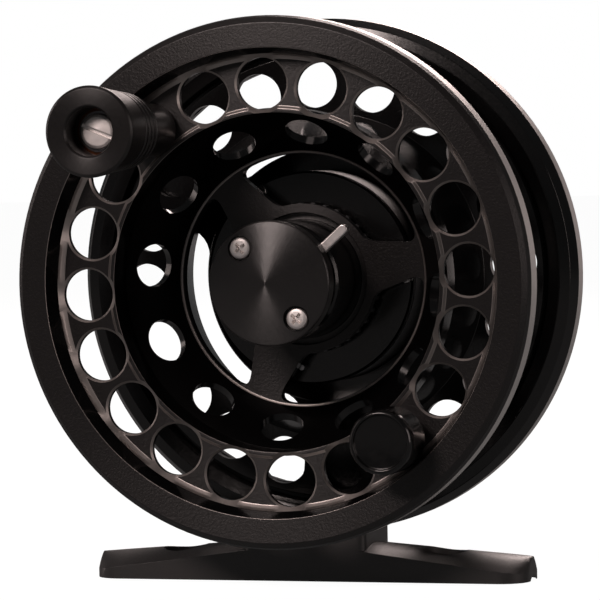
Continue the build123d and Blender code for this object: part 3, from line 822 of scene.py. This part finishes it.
def make_foot():
    half = FOOT_HIGH.x / MM
    corner = FOOT_CORNER
    root = FOOT_ROOT_X
    stations = [root] + [root + (half - corner - root) * index / 6 for index in range(1, 7)]
    stations += [half - corner * (1 - math.sin(math.radians(angle))) for angle in range(15, 91, 15)]
    right = sorted(set(round(x, 6) for x in stations))
    stations = [-x for x in reversed(right)] + right
    bm = bmesh.new()
    rings = []
    for x in stations:
        share = max(0.0, (abs(x) - root) / (half - root))
        section = foot_section(*[at_root + (at_tip - at_root) * share
                                 for at_root, at_tip in zip(FOOT_ROOT, FOOT_TIP)])
        width = max(point[0] for point in section)
        inset = 0.0
        past = abs(x) - (half - corner)
        if past > 0:
            inset = corner - math.sqrt(max(0.0, corner ** 2 - past ** 2))
        squeeze = (width - 2 * inset) / width
        rings.append([bm.verts.new((x * MM, FOOT_LOW.y + (inset + point[0] * squeeze) * MM,
                                    point[1] * MM)) for point in section])
    for near, far in zip(rings, rings[1:]):
        for index in range(len(near)):
            after = (index + 1) % len(near)
            bm.faces.new((near[index], far[index], far[after], near[after]))
    bm.faces.new(rings[0])
    bm.faces.new(list(reversed(rings[-1])))
    foot = mesh_object("reel_foot_crowned", bm)

    def stem(bm):
        outline = []
        for x_side, y_side, first in ((1, 1, 0), (-1, 1, 90), (-1, -1, 180), (1, -1, 270)):
            middle_x = x_side * (STEM_HALF - STEM_CORNER) * MM
            middle_y = (FOOT_HIGH.y if y_side > 0 else FOOT_LOW.y) - y_side * STEM_CORNER * MM
            for angle in range(first, first + 91, 15):
                across, deep = polar(STEM_CORNER * MM, angle)
                outline.append((middle_x + across, middle_y + deep))
        column_into(bm, outline, STEM_LOW, STEM_HIGH)

    def bores(bm):
        lathe_into(bm, [(0, 10), (SEAT_R, 10), (SEAT_R, 35), (0, 35)], ROUND)
        middle = (FOOT_LOW.y + FOOT_HIGH.y - STEM_OVERHANG) / 2
        for side in (-FOOT_BORES_X, FOOT_BORES_X):
            circle = []
            for step in range(SMALL_ROUND):
                across, deep = polar(FOOT_BORE_R * MM, 360 / SMALL_ROUND * step)
                circle.append((side * MM + across, middle + deep))
            column_into(bm, circle, -5, 9)

    add(foot, stem)
    cut(foot, bores)
    break_edges(foot, 0.16, 2)
    dress(foot, "frame", ["reel_foot"], MATERIALS["foot"], 30)


# ---- stage ----------------------------------------------------------------------------------
CAMERA_AZIMUTH, CAMERA_ELEVATION, CAMERA_ROLL = 16.76, 2.41, -1.0
CAMERA_DISTANCE = 641
CAMERA_AIM = (5.04, 0, -2.45)
CAMERA_LENS = 258.7
WARM = (1.0, 0.84, 0.80)
ROOM_LIGHT = 0.06               # what the room and the floor give to anything that reflects them
FLOOR_LIGHT = 0.08
FLOOR_SEEN = 0.97
FLOOR_HALF = 3.0
FLOOR_GAP = 0.05 * MM


def facing(azimuth, elevation):
    """Unit vector in a direction from the reel; azimuth 0 is in front, 90 on its right."""
    azimuth, elevation = math.radians(azimuth), math.radians(elevation)
    return Vector((math.sin(azimuth) * math.cos(elevation),
                   -math.cos(azimuth) * math.cos(elevation), math.sin(elevation)))


def make_camera():
    """The camera stands to the right of the handle side, a little above the spool axis."""
    camera = bpy.data.objects.new("camera", bpy.data.cameras.new("camera"))
    bpy.context.scene.collection.objects.link(camera)
    back = facing(CAMERA_AZIMUTH, CAMERA_ELEVATION)
    camera.location = reel(*CAMERA_AIM) + back * CAMERA_DISTANCE * MM
    level = (-back).to_track_quat("-Z", "Y").to_matrix().to_4x4()
    camera.matrix_world = (Matrix.Translation(camera.location) @ level
                           @ Matrix.Rotation(math.radians(CAMERA_ROLL), 4, "Z"))
    camera.data.sensor_width = 36.0
    camera.data.lens = CAMERA_LENS
    camera.data.clip_start = 0.01
    camera.data.clip_end = 20.0
    bpy.context.scene.camera = camera


def make_world():
    """White to the camera, and a dim room to everything that reflects it."""
    world = bpy.data.worlds.new("studio")
    world.use_nodes = True
    tree = world.node_tree
    nodes, link = tree.nodes, tree.links.new
    background = nodes["Background"]
    seen = nodes.new("ShaderNodeLightPath")
    mix = nodes.new("ShaderNodeMix")
    mix.inputs["A"].default_value = ROOM_LIGHT
    mix.inputs["B"].default_value = 1.0
    link(seen.outputs["Is Camera Ray"], mix.inputs["Factor"])
    link(mix.outputs["Result"], background.inputs["Strength"])
    background.inputs["Color"].default_value = (1, 1, 1, 1)
    bpy.context.scene.world = world
    bpy.context.scene.view_settings.view_transform = "Standard"


def make_floor():
    floor_material = Nodes("pale_floor")
    shader = floor_material.shader
    shader.inputs["Base Color"].default_value = (0.1, 0.1, 0.1, 1)
    shader.inputs["Roughness"].default_value = 1.0
    shader.inputs["Specular IOR Level"].default_value = 0.0
    shader.inputs["Emission Color"].default_value = (1, 1, 1, 1)
    seen = floor_material.node("ShaderNodeLightPath").outputs["Is Camera Ray"]
    glow = floor_material.spread(seen, 0.0, 1.0, FLOOR_LIGHT, FLOOR_SEEN)
    floor_material.link(glow, shader.inputs["Emission Strength"])
    bm = bmesh.new()
    corners = [(-1, -1), (1, -1), (1, 1), (-1, 1)]
    bm.faces.new([bm.verts.new((x * FLOOR_HALF, y * FLOOR_HALF, cad_low.z - FLOOR_GAP))
                  for x, y in corners])
    floor = mesh_object("floor", bm)
    floor.data.materials.append(floor_material.material)


def softbox(name, azimuth, elevation, size, radiance, distance=0.9):
    """Soft rectangular light, aimed at the reel from a direction that facing() describes."""
    data = bpy.data.lights.new(name, "AREA")
    data.shape = "RECTANGLE"
    data.size, data.size_y = size
    data.energy = radiance * math.pi * size[0] * size[1]
    data.color = WARM
    light = bpy.data.objects.new(name, data)
    bpy.context.scene.collection.objects.link(light)
    light.location = AXIS + facing(azimuth, elevation) * distance
    light.rotation_euler = (AXIS - light.location).to_track_quat("-Z", "Y").to_euler()


def make_lights():
    softbox("front_top", -20, 33, (0.26, 0.20), 24.0)
    softbox("top", -10, 62, (0.5, 0.3), 1.0)
    softbox("left", -95, 15, (0.3, 0.5), 2.0)
    softbox("right", 75, 10, (0.2, 0.5), 2.5)
    softbox("back", 178, 38, (0.4, 0.3), 12.0)
    softbox("back_right", 162, 3, (0.5, 0.25), 0.35)


paint_cad_nodes()
make_camera()
make_spool()
make_hub_cap()
make_cap_screws()
make_release_lever()
make_handle()
make_counterweight()
make_frame()
make_drag_knob()
make_foot()
make_world()
make_floor()
make_lights()
